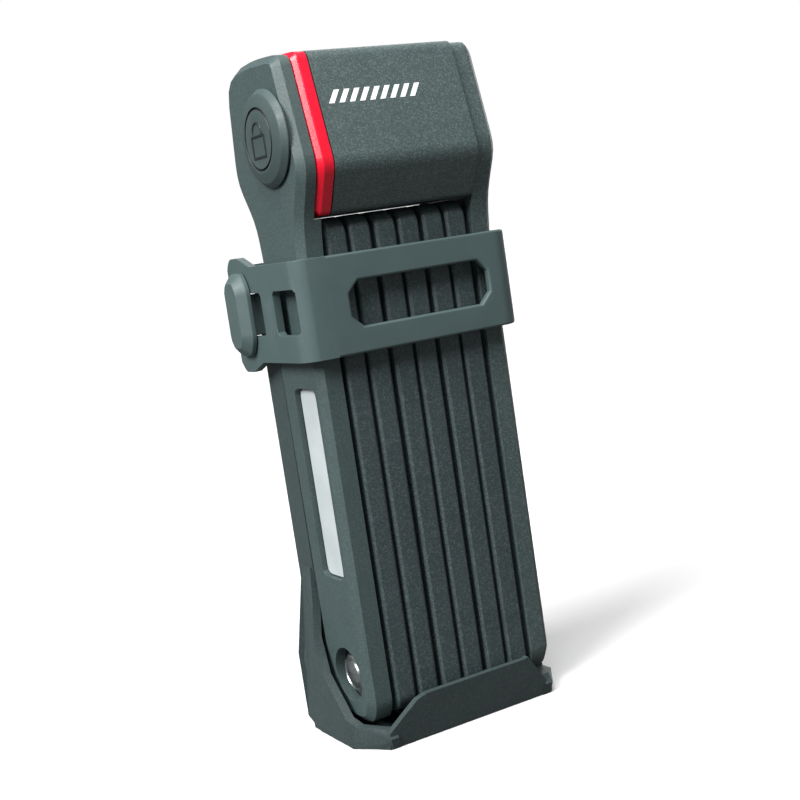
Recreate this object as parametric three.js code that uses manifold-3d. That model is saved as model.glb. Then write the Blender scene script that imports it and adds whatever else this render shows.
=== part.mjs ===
// Folding bike lock in its frame holder, closed and strapped in.
// Millimetres, +Z up, front towards -Y. The origin is on the holder's rear mounting boss.
import * as THREE from "three";
import { mergeVertices } from "three/addons/utils/BufferGeometryUtils.js";
import Module from "manifold-3d";

const wasm = await Module();
wasm.setup();

// Driving dimensions of the lock
const GAP = 0.3;
const PLATES = 8;
const PITCH = 7.2;
const BAR_THICK = 6.1;
const BAR_CHAMFER = 0.7;
const BAR_WALL = 2;
const CAVITY_HALF = 1.6;
const CORE_HALF = 1.3;
const PAIR_SHIFT = 0.1;
const BAR_FRONT = -38;
const BAR_DEPTH = 19.6;
const BAR_REACH = 11.4;
const BAR_CORNER = 4.5;
const PIVOT_Y = BAR_FRONT + BAR_DEPTH / 2;
const PIVOT_TOP = 60.6;
const PIVOT_BOTTOM = -46.7;
const ARM_OUTER = 29.1;
const ARM_INNER = 22.4;
const ARM_CHAMFER = 1.9;
const ARM_WALL = 3.1;
const ARM_NECK_Z = 71.9;
const POCKET_MARGIN = 3;
const STRIP_DEPTH = 2.2;
const STRIP_THICK = 0.4;
const CORE_INNER = ARM_INNER + 0.4;
const CORE_OUTER = ARM_OUTER - ARM_WALL - GAP;
const RING_LEFT = -24.1;
const RING_RIGHT = -20.0;
const BARREL_LEFT = RING_RIGHT + GAP;
const BARREL_RIGHT = ARM_INNER - GAP;
const BARREL_WALL = 2.6;
const EAR_INNER = -RING_LEFT + GAP;

// Key cylinder, bolt and rivets
const KEY_Y = -31.4;
const KEY_Z = 93.3;
const KEY_COVER_RADIUS = 12.2;
const KEY_COVER_THICK = 2.7;
const COVER_PIN_OFFSET = 9;
const CORE_RADIUS = 6.5;
const DISCS = 4;
const DISC_THICK = 2.4;
const BOLT_RADIUS = 4.6;
const BOLT_THROW = 5;
const BOLT_TIP_RADIUS = 3.8;
const COIL_TURNS = 4;
const COIL_LENGTH = 7.4;
const COIL_RADIUS = 3;
const WIRE_RADIUS = 0.5;
const HEAD_SCREW_LENGTH = 14;
const RIVET_SHANK = 3;
const RIVET_HEAD = 5;
const COUNTERBORE = 5.5;
const COUNTERBORE_DEPTH = 1.5;
const DOME_BORE = 7.2;
const DOME_RISE = 0.8;
const DOME_RECESS = 1.4;
const HEAD_THICK = 1;
const WASHER_PLAY = 0.25;

// Holder and strap
const PLATE_HALF = 28;
const FLANGE_THICK = 2.5;
const FLANGE_FRONT = -14;
const PLATE_REAR = -5;
const WEB_THICK = 3;
const PLATE_TOP = 63;
const SHOE_BOTTOM = -65.5;
const SHOE_HALF = 33.2;
const TOE_HALF = 26;
const WALL = 2.4;
const LIP_TOP = -53;
const LIP_LEAN = 0.22;
const TOE_FRONT = -39.8;
const SHOE_REAR = -8;
const RIGHT_WALL_FRONT = -27;
const LIP_REAR = -37.2;
const LIP_RIGHT_CLEAR = 20;
const SHOE_FLOOR = 3;
const WEB_BOTTOM = -64;
const BOSS_HALF = 9;
const BOSS_HALF_HEIGHT = 45;
const SCREW_Z = 32;
const SCREW_HOLE = 2.8;
const STRAP_THICK = 2.2;
const STRAP_BOTTOM = 37.2;
const STRAP_TOP = 62.6;
const STRAP_FRONT = -42;
const STRAP_LEFT = -33.1;
const STRAP_RIGHT = 31.8;
const STRAP_MID_Z = (STRAP_BOTTOM + STRAP_TOP) / 2;
const STRAP_CORNER = 4;
const STRAP_SLOTS = [[-39.5, -27], [-19.6, -6.3]];
const HOOK_NECK = { y0: -13, y1: -8.6, z0: STRAP_MID_Z - 4.5, z1: STRAP_MID_Z + 4.5 };
const HOOK_THICK = 3.4;
const NECK_SHOULDER = 0.9;
const STUD_Y = -10.9;
const STUD_HOLE = 2.2;
const STUD_HEAD = 6;
const PAD_HALF = 18;
const PAD_FRONT = -17.8;
const PAD_HALF_HEIGHT = 6;
const PAD_PLACES = [["pad_upper", 52], ["pad_lower", -52]];

// Side profile of the head: a rounded hexagon, [y, z, corner length].
const HEAD_CORNERS = [
  [-40.4, 112.8, 2.2], [-47, 84, 2.5], [-40.6, 72.5, 1.2],
  [-13.6, 72.5, 1.2], [-5.6, 84.3, 3], [-9.6, 112.9, 4], [-25, 114, 6],
];
const HEAD = rounded(HEAD_CORNERS);

// Side profile of an outer arm: the head's ear, a neck, the long arm, and a faceted foot.
const EAR = [
  [-39.8, 112.4, 3], [-45.9, 84, 4], [-39.4, 71.5, 4], [-38, 62, 0],
];
const ARM_FOOT = [
  [-38, -54.5, 2], [-35.4, -58.8, 2], [-28.4, -59.6, 3], [-19.5, -57, 3], [-15.6, -48, 3],
];
const EAR_REAR = [
  [-14.4, 62, 0], [-13.4, 72.3, 4], [-5.9, 84.5, 5], [-9.4, 112.5, 8], [-25, 113.6, 6],
];
const ARM_CORNERS = [...EAR, ...ARM_FOOT, ...EAR_REAR];
const ARM = rounded(ARM_CORNERS);

// Slot for the reflector on the left arm, in (y, z).
const STRIP_SLOT = rounded([
  [-34.6, 29.8, 2.5], [-34.6, -20.5, 2.5], [-22.4, -20.5, 2.5], [-22.4, 29.8, 2.5],
]);

// Screws that hold the lock body to the left arm's steel, in (y, z).
const SCREW_PLACES = [[-18, 101], [-18, 84]];

// Shoe side wall in (y, z): thin at the top rear, sweeping forward at the bottom.
const WALL_SHAPE = [
  [-8, -20], [-13.4, -20], [-14.6, -29], [-17.2, -38], [-21, -47.5], [-31, -57.3], [-33, -59.2],
  [-39.4, -60], [-41, -62.5], [-40, SHOE_BOTTOM], [-31, SHOE_BOTTOM], [-12, SHOE_BOTTOM],
  [-7, -62], [-7, -44], [-7.5, -29],
];

const finish = (color, roughness, metalness) =>
  new THREE.MeshStandardMaterial({ color, roughness, metalness });
const coating = finish(0x626e6c, 0.6, 0.1);
const darkCoating = finish(0x363c3d, 0.7, 0.1);
const holderPlastic = finish(0x4b5454, 0.7, 0);
const rubber = finish(0x66716f, 0.8, 0);
const redPlastic = finish(0xe8122f, 0.35, 0);
const steel = finish(0xb9bdbd, 0.3, 0.95);
const hardSteel = finish(0x8d9192, 0.4, 0.95);
const brass = finish(0xb99a52, 0.35, 0.95);
const reflective = finish(0xe9edec, 0.35, 0);

const group = new THREE.Group();

// Adds one named sub-part to the model.
function part(name, shape, material) {
  const geometry = shape.isBufferGeometry ? shape : toGeometry(shape);
  const mesh = new THREE.Mesh(geometry, material);
  mesh.name = name;
  group.add(mesh);
}

// A closed three.js geometry as a manifold solid.
function solid(geometry) {
  let bare = geometry.index ? geometry.toNonIndexed() : geometry.clone();
  bare.deleteAttribute("normal");
  bare.deleteAttribute("uv");
  bare = mergeVertices(bare, 1e-4);
  return new wasm.Manifold(new wasm.Mesh({
    numProp: 3,
    vertProperties: new Float32Array(bare.attributes.position.array),
    triVerts: new Uint32Array(bare.index.array),
  }));
}

function toGeometry(manifold) {
  const mesh = manifold.getMesh();
  const geometry = new THREE.BufferGeometry();
  const numbers = new Float32Array(mesh.vertProperties);
  geometry.setAttribute("position", new THREE.BufferAttribute(numbers, 3));
  geometry.setIndex(new THREE.BufferAttribute(new Uint32Array(mesh.triVerts), 1));
  geometry.computeVertexNormals();
  return geometry;
}

const joinAll = (pieces) => pieces.reduce((whole, piece) => whole.add(piece));
const cutAll = (whole, cutters) => cutters.reduce((left, cutter) => left.subtract(cutter), whole);

// Box from its two opposite corners.
function box(x0, x1, y0, y1, z0, z1) {
  const geometry = new THREE.BoxGeometry(x1 - x0, y1 - y0, z1 - z0);
  geometry.translate((x0 + x1) / 2, (y0 + y1) / 2, (z0 + z1) / 2);
  return solid(geometry);
}

// Round bar along X, from x0 to x1.
function rod(x0, x1, y, z, radius, segments = 20, tipRadius = radius) {
  const geometry = new THREE.CylinderGeometry(tipRadius, radius, x1 - x0, segments);
  geometry.rotateZ(-Math.PI / 2);
  geometry.translate((x0 + x1) / 2, y, z);
  return solid(geometry);
}

// Prism along X whose outline is drawn in (y, z). Each ring is [x, outline], all with
// the same number of points, so a chamfer is one more ring with a smaller outline.
function stack(given) {
  const clockwise = signedArea(given[0][1]) < 0;
  const rings = given.map(([x, outline]) => [x, clockwise ? outline.toReversed() : outline]);
  const count = rings[0][1].length;
  const triangles = [];
  const at = (ring, i) => {
    const [y, z] = rings[ring][1][i % count];
    return [rings[ring][0], y, z];
  };
  for (let ring = 0; ring + 1 < rings.length; ring += 1) {
    for (let i = 0; i < count; i += 1) {
      triangles.push([at(ring, i), at(ring, i + 1), at(ring + 1, i + 1)]);
      triangles.push([at(ring, i), at(ring + 1, i + 1), at(ring + 1, i)]);
    }
  }
  const last = rings.length - 1;
  const capOf = (ring) => THREE.ShapeUtils.triangulateShape(
    rings[ring][1].map(([y, z]) => new THREE.Vector2(y, z)), []);
  for (const [a, b, c] of capOf(0)) triangles.push([at(0, a), at(0, c), at(0, b)]);
  for (const [a, b, c] of capOf(last)) triangles.push([at(last, a), at(last, b), at(last, c)]);
  const rising = rings[last][0] > rings[0][0];
  const numbers = triangles.flatMap((t) => (rising ? t : [t[0], t[2], t[1]])).flat();
  const geometry = new THREE.BufferGeometry();
  geometry.setAttribute("position", new THREE.Float32BufferAttribute(numbers, 3));
  return solid(geometry);
}

function signedArea(outline) {
  return outline.reduce((sum, [y, z], i) => {
    const [yNext, zNext] = outline[(i + 1) % outline.length];
    return sum + (y * zNext - yNext * z) / 2;
  }, 0);
}

// The outline moved inwards by a distance, keeping its number of points.
function inset(outline, distance) {
  const count = outline.length;
  const side = Math.sign(signedArea(outline));
  return outline.map((point, i) => {
    const before = new THREE.Vector2(...outline[(i + count - 1) % count]);
    const here = new THREE.Vector2(...point);
    const after = new THREE.Vector2(...outline[(i + 1) % count]);
    const a = here.clone().sub(before).normalize();
    const b = after.clone().sub(here).normalize();
    const normal = new THREE.Vector2(-a.y - b.y, a.x + b.x).normalize();
    const reach = distance / Math.max(0.5, normal.dot(new THREE.Vector2(-a.y, a.x)));
    return [here.x + side * normal.x * reach, here.y + side * normal.y * reach];
  });
}

// Corners of an outline replaced by short arcs. Each corner is [y, z, radius].
function rounded(corners, steps = 3) {
  const count = corners.length;
  return corners.flatMap(([y, z, radius], i) => {
    if (!radius) return [[y, z]];
    const here = new THREE.Vector2(y, z);
    const before = new THREE.Vector2(...corners[(i + count - 1) % count].slice(0, 2));
    const after = new THREE.Vector2(...corners[(i + 1) % count].slice(0, 2));
    const start = here.clone().add(before.sub(here).normalize().multiplyScalar(radius));
    const end = here.clone().add(after.sub(here).normalize().multiplyScalar(radius));
    const curve = new THREE.QuadraticBezierCurve(start, here, end);
    return curve.getPoints(steps).map((p) => [p.x, p.y]);
  });
}

// Bar outline in (y, z), drawn in by a margin: a long plate with blunt, rounded ends
// that reach past the two rivets.
function barOutline(margin, steps = 6) {
  const half = BAR_DEPTH / 2 - margin;
  const corner = BAR_CORNER - margin / 2;
  const quarter = [];
  for (let i = 0; i <= steps; i += 1) {
    const angle = (Math.PI / 2) * (i / steps);
    const short = [corner * (1 - Math.cos(angle)), corner * (1 - Math.sin(angle))];
    quarter.push([half - short[0], BAR_REACH - margin - short[1]]);
  }
  const top = [...quarter, ...quarter.toReversed().map(([y, z]) => [-y, z])];
  return [
    ...top.map(([y, z]) => [PIVOT_Y + y, PIVOT_TOP + z]),
    ...top.map(([y, z]) => [PIVOT_Y - y, PIVOT_BOTTOM - z]),
  ];
}

// Middle of plate 1 to 8 along X; plates joined at the top sit closer together.
const barCentre = (plate) =>
  (plate - (PLATES + 1) / 2) * PITCH + (plate % 2 ? -PAIR_SHIFT : PAIR_SHIFT);

const barLeft = (plate) => (plate === 1 ? -ARM_OUTER : plate === PLATES ? ARM_INNER
  : barCentre(plate) - BAR_THICK / 2);
const barRight = (plate) => (plate === 1 ? -ARM_INNER : plate === PLATES ? ARM_OUTER
  : barCentre(plate) + BAR_THICK / 2);

// Rivet n joins plates n and n + 1: odd ones at the bottom, even ones at the top.
const rivetZ = (n) => (n % 2 ? PIVOT_BOTTOM : PIVOT_TOP);

function innerBar(plate) {
  const left = barLeft(plate);
  const right = barRight(plate);
  const outline = barOutline(0);
  const edge = inset(outline, BAR_CHAMFER);
  const jacket = stack([
    [left, edge], [left + BAR_CHAMFER, outline], [right - BAR_CHAMFER, outline], [right, edge],
  ]);
  const middle = (left + right) / 2;
  const cavity = stack([
    [middle - CAVITY_HALF, barOutline(BAR_WALL)],
    [middle + CAVITY_HALF, barOutline(BAR_WALL)],
  ]);
  const cutters = [cavity];
  for (const n of [plate - 1, plate]) {
    cutters.push(rod(left - 1, right + 1, PIVOT_Y, rivetZ(n), RIVET_SHANK + GAP));
    const headed = n === plate ? [left - 1, left + COUNTERBORE_DEPTH]
      : [right - COUNTERBORE_DEPTH, right + 1];
    cutters.push(rod(...headed, PIVOT_Y, rivetZ(n), COUNTERBORE));
  }
  part(`bar_${plate}_jacket`, cutAll(jacket, cutters), darkCoating);
  const plateShape = barOutline(BAR_WALL + GAP);
  const core = stack([[middle - CORE_HALF, plateShape], [middle + CORE_HALF, plateShape]]);
  const holes = [plate - 1, plate].map((n) =>
    rod(left, right, PIVOT_Y, rivetZ(n), RIVET_SHANK + GAP));
  part(`bar_${plate}_core`, cutAll(core, holes), hardSteel);
}

// One rivet and its washer between plates n and n + 1, as one turned profile along X.
function rivet(n) {
  const first = n === 1;
  const last = n === PLATES - 1;
  const headBase = barLeft(n) + COUNTERBORE_DEPTH + (first ? DOME_RECESS : 0) - GAP;
  const tailBase = barRight(n + 1) - COUNTERBORE_DEPTH - (last ? DOME_RECESS : 0) + GAP;
  const headTop = headBase - HEAD_THICK;
  const tailTop = tailBase + HEAD_THICK;
  const profile = [
    [0, headTop - (first ? DOME_RISE : 0)],
    [RIVET_HEAD * 0.6, headTop - (first ? DOME_RISE * 0.7 : 0)],
    [RIVET_HEAD, headTop], [RIVET_HEAD, headBase], [RIVET_SHANK, headBase],
    [RIVET_SHANK, tailBase], [RIVET_HEAD, tailBase], [RIVET_HEAD, tailTop],
    [0, tailTop + (last ? DOME_RISE : 0)],
  ].map(([radius, x]) => new THREE.Vector2(radius, x));
  part(`rivet_${n}_${n + 1}`, turned(profile, PIVOT_Y, rivetZ(n)), steel);
  const left = barRight(n) + WASHER_PLAY;
  const right = barLeft(n + 1) - WASHER_PLAY;
  const bore = RIVET_SHANK + GAP;
  const washer = [[bore, left], [RIVET_HEAD, left], [RIVET_HEAD, right], [bore, right]];
  part(`washer_${n}_${n + 1}`, turnedRing(washer, PIVOT_Y, rivetZ(n)), brass);
}

// A profile of (radius, x) turned about an axis along X.
function turned(profile, y, z, segments = 20) {
  const geometry = new THREE.LatheGeometry(profile, segments);
  geometry.rotateZ(-Math.PI / 2);
  geometry.translate(0, y, z);
  return solid(geometry);
}

function turnedRing(corners, y, z, segments = 20) {
  const profile = [...corners, corners[0]].map(([radius, x]) => new THREE.Vector2(radius, x));
  return turned(profile, y, z, segments);
}

// Outer arm cover on the left (side -1) or right (side 1), hollow towards the stack.
function armCover(side) {
  const inner = side < 0 ? EAR_INNER : ARM_INNER;
  const chamfered = [
    [side * ARM_OUTER, inset(ARM, ARM_CHAMFER)], [side * (ARM_OUTER - ARM_CHAMFER), ARM],
  ];
  let cover = stack([...chamfered, [side * inner, ARM]]);
  if (side < 0) {
    const deep = stack([...chamfered, [side * ARM_INNER, ARM]]);
    cover = cover.add(deep.intersect(box(-40, 0, -60, 0, -70, ARM_NECK_Z)));
  }
  const pocket = inset(ARM_CORNERS, POCKET_MARGIN);
  const pocketFloor = side * (ARM_OUTER - ARM_WALL);
  cover = cover.subtract(stack([[pocketFloor, pocket], [side * (ARM_INNER - 4), pocket]]));
  const cutters = [rod(...span(side, ARM_OUTER - 5, 34), PIVOT_Y, PIVOT_BOTTOM, DOME_BORE, 28)];
  return cutAll(cover, cutters);
}

const span = (side, near, far) => (side < 0 ? [-far, -near] : [near, far]);

function armCore(side) {
  const shape = inset(ARM_CORNERS, POCKET_MARGIN + GAP);
  const earInner = side < 0 ? EAR_INNER : CORE_INNER;
  const ear = stack([[side * CORE_OUTER, shape], [side * earInner, shape]]);
  const deep = stack([[side * CORE_OUTER, shape], [side * CORE_INNER, shape]]);
  const neckCut = box(-40, 40, -60, 0, -70, ARM_NECK_Z - 3);
  const core = ear.add(deep.intersect(neckCut));
  return core.subtract(rod(-40, 40, PIVOT_Y, PIVOT_BOTTOM, RIVET_SHANK + GAP))
    .subtract(rod(...span(side, CORE_OUTER - 1.6, 34), PIVOT_Y, PIVOT_BOTTOM, COUNTERBORE));
}

function leftArm() {
  const keyBore = rod(-34, -20, KEY_Y, KEY_Z, CORE_RADIUS + GAP, 24);
  const slot = stack([[-31, STRIP_SLOT], [-ARM_OUTER + STRIP_DEPTH, STRIP_SLOT]]);
  const pinHole = rod(-34, -26, KEY_Y, KEY_Z + COVER_PIN_OFFSET, 1.8, 12);
  part("arm_left_cover", cutAll(armCover(-1), [keyBore, slot, pinHole]), coating);
  const screws = SCREW_PLACES.map(([y, z]) => rod(-30, -20, y, z, 2.8, 16));
  part("arm_left_core", cutAll(armCore(-1), [keyBore, pinHole, ...screws]), hardSteel);
  const strip = inset(STRIP_SLOT, GAP);
  const stripFace = -ARM_OUTER + STRIP_DEPTH - GAP;
  const tape = stack([[stripFace - STRIP_THICK, strip], [stripFace, strip]]);
  part("reflector_strip", tape, reflective);
}

function head() {
  const ringHole = inset(HEAD_CORNERS, 5);
  const ring = stack([
    [RING_LEFT, inset(HEAD, 1.2)], [RING_LEFT + 1.3, HEAD], [RING_RIGHT, HEAD],
  ]).subtract(stack([[RING_LEFT - 1, ringHole], [RING_RIGHT + 1, ringHole]]));
  part("red_ring", ring, redPlastic);
  const bore = inset(HEAD_CORNERS, BARREL_WALL);
  const shell = stack([[BARREL_LEFT, HEAD], [BARREL_RIGHT, HEAD]]);
  const hollow = stack([[BARREL_LEFT - 1, bore], [BARREL_RIGHT - BARREL_WALL, bore]]);
  const boltHole = rod(15, 30, KEY_Y, KEY_Z, BOLT_RADIUS + GAP);
  part("barrel_shell", cutAll(shell, [hollow, boltHole]), coating);
  const block = inset(HEAD_CORNERS, 5.5);
  const bodyLeft = -EAR_INNER + GAP;
  const body = stack([[bodyLeft, block], [BARREL_RIGHT - BARREL_WALL - GAP, block]]);
  const screwHoles = SCREW_PLACES.map(([y, z]) => rod(-30, -10, y, z, 2.3, 16));
  const bores = [
    rod(-30, 0.5, KEY_Y, KEY_Z, CORE_RADIUS + GAP, 24),
    rod(0, 30, KEY_Y, KEY_Z, BOLT_RADIUS + GAP),
  ];
  part("lock_body", cutAll(body, [...screwHoles, ...bores]), hardSteel);
  SCREW_PLACES.forEach(([y, z], i) => part(`head_screw_${i + 1}`, headScrew(y, z), steel));
}

function headScrew(y, z) {
  const seat = -CORE_OUTER;
  const profile = [
    [0, seat], [2.5, seat], [2.5, seat + 1], [2, seat + 1.4],
    [2, seat + HEAD_SCREW_LENGTH], [0, seat + HEAD_SCREW_LENGTH],
  ].map(([radius, x]) => new THREE.Vector2(radius, x));
  return turned(profile, y, z, 16);
}

function keyway(x0, x1) {
  return box(x0, x1, KEY_Y - 1.1, KEY_Y + 1.1, KEY_Z - 4.2, KEY_Z + 4.2);
}

function cylinder() {
  const face = -28.6;
  const faceEnd = -20;
  const plug = rod(face, faceEnd, KEY_Y, KEY_Z, CORE_RADIUS, 24);
  part("key_plug", plug.subtract(keyway(face - 1, faceEnd + 1)), brass);
  let x = faceEnd + GAP;
  for (let i = 1; i <= DISCS; i += 1) {
    const disc = rod(x, x + DISC_THICK, KEY_Y, KEY_Z, CORE_RADIUS - 0.2, 20);
    part(`detainer_disc_${i}`, disc.subtract(keyway(x - 1, x + DISC_THICK + 1)), brass);
    x += DISC_THICK + GAP;
  }
  const driver = rod(x, x + 4, KEY_Y, KEY_Z, CORE_RADIUS, 24);
  const cam = box(x + 3, x + 7, KEY_Y - 2, KEY_Y + 2, KEY_Z - 3.6, KEY_Z + 3.6);
  part("cam_driver", driver.add(cam), steel);
  springAndBolt(x + 7 + GAP);
}

function springAndBolt(start) {
  class Coil extends THREE.Curve {
    getPoint(t, target = new THREE.Vector3()) {
      const angle = 2 * Math.PI * COIL_TURNS * t;
      const x = start + 0.6 + t * COIL_LENGTH;
      const y = KEY_Y + COIL_RADIUS * Math.cos(angle);
      return target.set(x, y, KEY_Z + COIL_RADIUS * Math.sin(angle));
    }
  }
  const wire = new THREE.Shape().absarc(0, 0, WIRE_RADIUS, 0, 2 * Math.PI, false);
  part("bolt_spring", solid(new THREE.ExtrudeGeometry(wire, {
    steps: COIL_TURNS * 9, curveSegments: 3, extrudePath: new Coil(),
  })), steel);
  const boltLeft = start + COIL_LENGTH + 1.6;
  const boltRight = ARM_OUTER - ARM_WALL - GAP - BOLT_THROW;
  const bolt = rod(boltLeft, boltRight - 1, KEY_Y, KEY_Z, BOLT_RADIUS);
  const tip = rod(boltRight - 1, boltRight, KEY_Y, KEY_Z, BOLT_RADIUS, 20, BOLT_TIP_RADIUS);
  part("locking_bolt", bolt.add(tip), steel);
}

function rightArm() {
  const boltBore = rod(20, CORE_OUTER + 1, KEY_Y, KEY_Z, 7.3, 24);
  part("arm_right_cover", armCover(1), coating);
  part("arm_right_core", cutAll(armCore(1), [boltBore]), hardSteel);
  const inner = BOLT_RADIUS + GAP;
  const bush = [[inner, CORE_INNER], [7, CORE_INNER], [7, CORE_OUTER], [inner, CORE_OUTER]];
  part("striker_bush", turnedRing(bush, KEY_Y, KEY_Z, 24), steel);
}

function keyCover() {
  const left = -ARM_OUTER - GAP - KEY_COVER_THICK;
  const right = -ARM_OUTER - GAP;
  const disc = rod(left + 1, right, KEY_Y, KEY_Z, KEY_COVER_RADIUS, 36);
  const rim = rod(left, left + 1, KEY_Y, KEY_Z, KEY_COVER_RADIUS - 1.4, 36, KEY_COVER_RADIUS);
  const seat = rod(left + 1.2, right + 1, KEY_Y, KEY_Z + COVER_PIN_OFFSET, 1.8, 12);
  part("key_cover", disc.add(rim).subtract(seat), coating);
  const pinSpan = [left + 1.2 + GAP, -ARM_OUTER + ARM_WALL - GAP];
  part("cover_pin", rod(...pinSpan, KEY_Y, KEY_Z + COVER_PIN_OFFSET, 1.5, 12), steel);
}

// Outer face of a shoe wall: flush with the back plate at the top, bulging lower down,
// and drawn in again towards the toe.
function wallReach(y, z) {
  const { lerp, smoothstep } = THREE.MathUtils;
  const flank = lerp(SHOE_HALF, PLATE_HALF + 0.6, smoothstep(z, -44, -20));
  const toe = THREE.MathUtils.clamp((-31 - y) / 9, 0, 1);
  return lerp(flank, TOE_HALF, toe) - (z < -64 ? 0.8 : 0);
}

function shoeWall(side) {
  const geometry = toGeometry(stack([[side * WALL, WALL_SHAPE], [0, WALL_SHAPE]]));
  const position = geometry.attributes.position;
  for (let i = 0; i < position.count; i += 1) {
    const depth = position.getX(i);
    position.setX(i, side * wallReach(position.getY(i), position.getZ(i)) - depth);
  }
  return solid(turnedOut(geometry));
}

// A mirrored geometry has its triangles turned round, so that its faces point out again.
function turnedOut(geometry) {
  const index = geometry.index.array;
  for (let i = 0; i < index.length; i += 3) {
    [index[i], index[i + 1]] = [index[i + 1], index[i]];
  }
  return geometry;
}

function frontLip() {
  const outline = [
    [-TOE_HALF, SHOE_BOTTOM], [TOE_HALF, SHOE_BOTTOM], [TOE_HALF, -64.3], [18, LIP_TOP + 0.4],
    [17, LIP_TOP], [-14.5, LIP_TOP], [-17.5, LIP_TOP - 1], [-TOE_HALF, -61],
  ];
  const shape = new THREE.Shape(outline.map(([x, z]) => new THREE.Vector2(x, z)));
  const geometry = new THREE.ExtrudeGeometry(shape, { depth: WALL - 0.4, bevelEnabled: false });
  geometry.rotateX(Math.PI / 2);
  geometry.translate(0, TOE_FRONT + WALL - 0.4, 0);
  const position = geometry.attributes.position;
  for (let i = 0; i < position.count; i += 1) {
    const rise = position.getZ(i) - SHOE_BOTTOM;
    position.setY(i, position.getY(i) - rise * LIP_LEAN);
  }
  return solid(geometry);
}

// Floor of the shoe in (x, y), with its toe corners cut off at a slant.
function shoeFloor() {
  const shape = new THREE.Shape([
    [-TOE_HALF, TOE_FRONT], [TOE_HALF, TOE_FRONT], [SHOE_HALF - 1, -30], [SHOE_HALF - 1, SHOE_REAR],
    [1 - SHOE_HALF, SHOE_REAR], [1 - SHOE_HALF, -30],
  ].map(([x, y]) => new THREE.Vector2(x, y)));
  const geometry = new THREE.ExtrudeGeometry(shape, { depth: SHOE_FLOOR, bevelEnabled: false });
  geometry.translate(0, 0, SHOE_BOTTOM);
  return solid(geometry);
}

function holder() {
  const web = box(-PLATE_HALF, PLATE_HALF, PLATE_REAR - WEB_THICK, PLATE_REAR, WEB_BOTTOM, PLATE_TOP);
  const boss = box(-BOSS_HALF, BOSS_HALF, PLATE_REAR - 1, 0, -BOSS_HALF_HEIGHT, BOSS_HALF_HEIGHT);
  const pieces = [web, boss, shoeWall(-1), shoeWall(1), frontLip()];
  for (const side of [-1, 1]) {
    const edges = span(side, PLATE_HALF - FLANGE_THICK, PLATE_HALF);
    pieces.push(box(...edges, FLANGE_FRONT, PLATE_REAR, WEB_BOTTOM, PLATE_TOP));
    pieces.push(shoeGusset(side));
  }
  pieces.push(shoeFloor());
  const { y0, y1, z0, z1 } = HOOK_NECK;
  const cutters = [
    box(-40, -20, y0 - GAP, y1 + GAP, z0 - GAP, z1 + GAP),
    rod(20, 40, STUD_Y, STRAP_MID_Z, STUD_HOLE),
  ];
  const floorTop = SHOE_BOTTOM + SHOE_FLOOR;
  cutters.push(box(LIP_RIGHT_CLEAR, 40, LIP_REAR, RIGHT_WALL_FRONT, floorTop, -40));
  cutters.push(box(TOE_HALF, 40, -50, RIGHT_WALL_FRONT, floorTop, -40));
  for (const z of [-SCREW_Z, SCREW_Z]) {
    cutters.push(alongY(PLATE_REAR - 5, 1, 0, z, SCREW_HOLE));
  }
  return cutAll(joinAll(pieces), cutters);
}

// Web that closes the gap between the back plate and one side wall of the shoe.
function shoeGusset(side) {
  const outline = [
    [PLATE_HALF - 1, WEB_BOTTOM], [SHOE_HALF - 1.6, WEB_BOTTOM],
    [SHOE_HALF - 1.2, -46], [PLATE_HALF - 1, -24],
  ];
  const shape = new THREE.Shape(outline.map(([x, z]) => new THREE.Vector2(x, z)));
  const geometry = new THREE.ExtrudeGeometry(shape, { depth: WEB_THICK, bevelEnabled: false });
  geometry.rotateX(Math.PI / 2);
  geometry.translate(0, -7.4, 0);
  return side > 0 ? solid(geometry) : solid(mirrored(geometry));
}

function mirrored(geometry) {
  const indexed = mergeVertices(geometry);
  indexed.scale(-1, 1, 1);
  return turnedOut(indexed);
}

function alongY(y0, y1, x, z, radius, segments = 16) {
  const geometry = new THREE.CylinderGeometry(radius, radius, y1 - y0, segments);
  geometry.translate(x, (y0 + y1) / 2, z);
  return solid(geometry);
}

// Hook for the strap: an eight-sided plate on a neck that clips through the flange. The
// neck has a shoulder that fills the height of the strap's slot.
function strapHook() {
  const plate = rounded([
    [-14.4, 43.5, 1.6], [-14.4, 57, 1.6], [-11.6, 61.3, 1.6], [-5.2, 61.3, 1.6],
    [-2.4, 57.5, 1.6], [-2.4, 43, 1.6], [-5.2, 39.2, 1.6], [-11.6, 39.2, 1.6],
  ], 2);
  const outer = STRAP_LEFT - GAP;
  const rim = inset(plate, 2.4);
  const plateSolid = stack([[outer - HOOK_THICK, rim], [outer - 1.2, plate], [outer, plate]]);
  const { y0, y1, z0, z1 } = HOOK_NECK;
  const neck = box(outer - 1, -PLATE_HALF + FLANGE_THICK + 0.8, y0, y1, z0, z1);
  const clipStart = -PLATE_HALF + FLANGE_THICK + GAP;
  const clip = box(clipStart, clipStart + 1.4, y0, y1, z0 - 1, z1 + 1);
  const rise = NECK_SHOULDER;
  const shoulder = box(outer - 1, -PLATE_HALF - GAP, y0, y1, z0 - rise, z1 + rise);
  return joinAll([plateSolid, neck, shoulder, clip]);
}

function anchorStud() {
  const outer = STRAP_RIGHT + GAP;
  const inner = PLATE_HALF - FLANGE_THICK - GAP;
  const shank = STUD_HOLE - GAP;
  const profile = [
    [0, inner - 1.6], [2.2, inner - 1.6], [2.7, inner], [shank, inner], [shank, outer], [STUD_HEAD, outer],
    [STUD_HEAD, outer + 0.8], [5, outer + 1.6], [0, outer + 1.6],
  ].map(([radius, x]) => new THREE.Vector2(radius, x));
  return turned(profile, STUD_Y, STRAP_MID_Z);
}

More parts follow.
